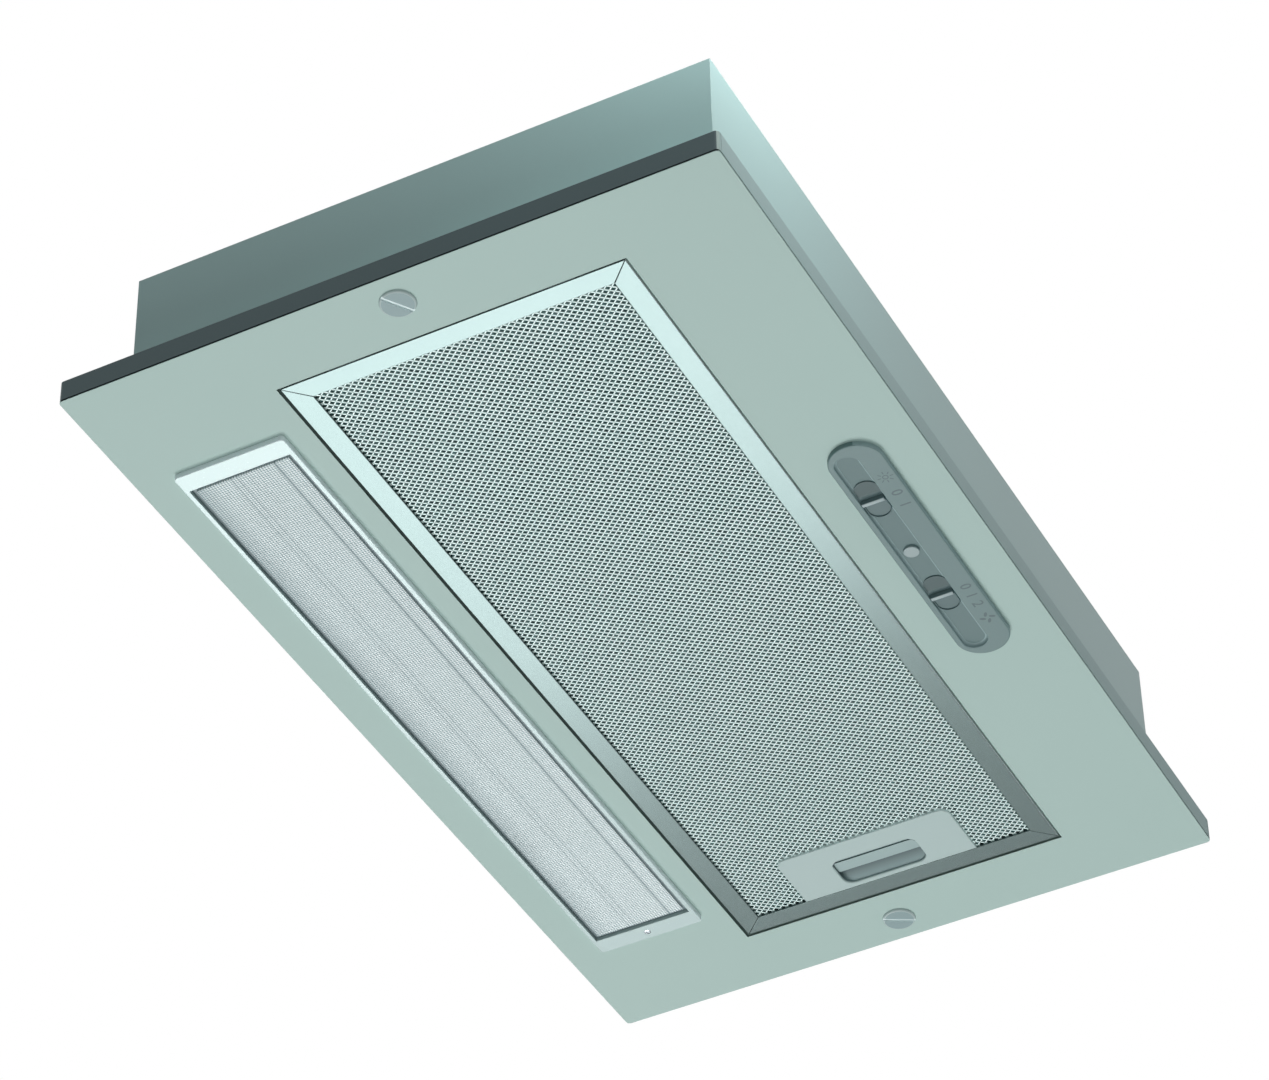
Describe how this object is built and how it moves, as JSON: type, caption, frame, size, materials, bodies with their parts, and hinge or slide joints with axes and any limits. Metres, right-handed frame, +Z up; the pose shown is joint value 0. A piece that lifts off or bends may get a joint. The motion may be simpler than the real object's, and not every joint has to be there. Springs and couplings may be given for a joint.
{
  "type": "built-in range hood",
  "caption": "Built-in range hood canopy: flat faceplate with grease filter, lamp strip and slide controls under a chassis box with centrifugal blower and round duct spigot.",
  "frame": {"origin": "centre of the four cupboard screws, in the plane of the chassis flange that bears on the cupboard's underside", "axes": "+X along the hood towards the filter's grip, +Y from the controls towards the lamp strip, +Z up into the cupboard"},
  "size_m": [0.52, 0.3124, 0.2557],
  "materials": {
    "painted_steel": "silver-grey satin paint on pressed steel",
    "galvanised_steel": "smooth pale-grey coated sheet",
    "filter_aluminium": "bright mill aluminium",
    "grip_plastic": "light grey moulded plastic",
    "lamp_plastic": "pale satin moulded plastic",
    "lens": "clear prismatic moulding",
    "control_plastic": "grey moulded plastic",
    "switch_plastic": "dark moulded plastic",
    "screw_steel": "bright zinc-plated steel",
    "reflector_aluminium": "polished aluminium",
    "holder_ceramic": "off-white ceramic",
    "bulb_glass": "frosted glass",
    "fan_plastic": "dark grey moulded plastic",
    "motor_steel": "bare pressed steel",
    "rubber": "black rubber",
    "duct_plastic": "dark grey moulded plastic",
    "box_plastic": "off-white moulded plastic"
  },
  "bodies": {
    "hood": {"faceplate": "painted_steel", "chassis": "galvanised_steel", "knob_receivers": "galvanised_steel", "lamp_cover_frame": "lamp_plastic", "lamp_lens": "lens", "lamp_cover_screw": "screw_steel", "lamp_reflector": "reflector_aluminium", "reflector_screws": "screw_steel", "lampholder_left": "holder_ceramic", "lampholder_right": "holder_ceramic", "bulb_left": "bulb_glass", "bulb_right": "bulb_glass", "control_bezel": "control_plastic", "control_pin": "control_plastic", "light_switch": "switch_plastic", "speed_switch": "switch_plastic", "blower_cover": "galvanised_steel", "blower_cover_screws": "screw_steel", "scroll_front": "fan_plastic", "scroll_rear": "fan_plastic", "motor": "motor_steel", "motor_bracket": "galvanised_steel", "motor_grommets": "rubber", "motor_screws": "screw_steel", "run_capacitor": "box_plastic", "outlet_spigot": "duct_plastic", "spigot_screws": "screw_steel", "damper_pin": "screw_steel", "terminal_box": "box_plastic", "terminal_cover": "box_plastic", "terminal_screws": "screw_steel", "cable_gland": "rubber"},
    "filter": {"filter_frame": "filter_aluminium", "filter_mesh": "filter_aluminium", "filter_hooks": "screw_steel", "filter_handle": "grip_plastic"},
    "latch": {"filter_latch": "grip_plastic"},
    "light_control": {"light_slider": "control_plastic"},
    "speed_control": {"speed_slider": "control_plastic"},
    "left_knob": {"knob_left": "grip_plastic"},
    "right_knob": {"knob_right": "grip_plastic"},
    "fan": {"impeller": "fan_plastic", "motor_shaft": "screw_steel"},
    "left_flap": {"damper_flap_left": "duct_plastic"},
    "right_flap": {"damper_flap_right": "duct_plastic"}
  },
  "joints": [
    {"name": "filter_swing", "type": "hinge", "parent": "hood", "child": "filter", "pos_m": [-0.2225, -0.012, -0.0106], "axis": [0, 1, 0], "range_deg": [0, 60]},
    {"name": "latch_slide", "type": "slide", "parent": "filter", "child": "latch", "axis": [-1, 0, 0], "range_m": [0, 0.004], "stiffness_N_per_m": 150, "springref_m": -0.004},
    {"name": "light_slide", "type": "slide", "parent": "hood", "child": "light_control", "axis": [1, 0, 0], "range_m": [0, 0.0095]},
    {"name": "speed_slide", "type": "slide", "parent": "hood", "child": "speed_control", "axis": [1, 0, 0], "range_m": [0, 0.013]},
    {"name": "left_knob_turn", "type": "hinge", "parent": "hood", "child": "left_knob", "pos_m": [-0.2444, 0, -0.0115], "axis": [0, 0, 1], "range_deg": [-57, 33]},
    {"name": "right_knob_turn", "type": "hinge", "parent": "hood", "child": "right_knob", "pos_m": [0.2444, 0, -0.0115], "axis": [0, 0, 1], "range_deg": [-30, 60]},
    {"name": "fan_spin", "type": "hinge", "parent": "hood", "child": "fan", "pos_m": [-0.027, 0, 0.118], "axis": [0, 1, 0], "continuous": true},
    {"name": "left_flap_swing", "type": "hinge", "parent": "hood", "child": "left_flap", "pos_m": [0.018, 0, 0.212], "axis": [0, 1, 0], "range_deg": [0, 75]},
    {"name": "right_flap_swing", "type": "hinge", "parent": "hood", "child": "right_flap", "pos_m": [0.018, 0, 0.212], "axis": [0, 1, 0], "range_deg": [-75, 0]}
  ]
}
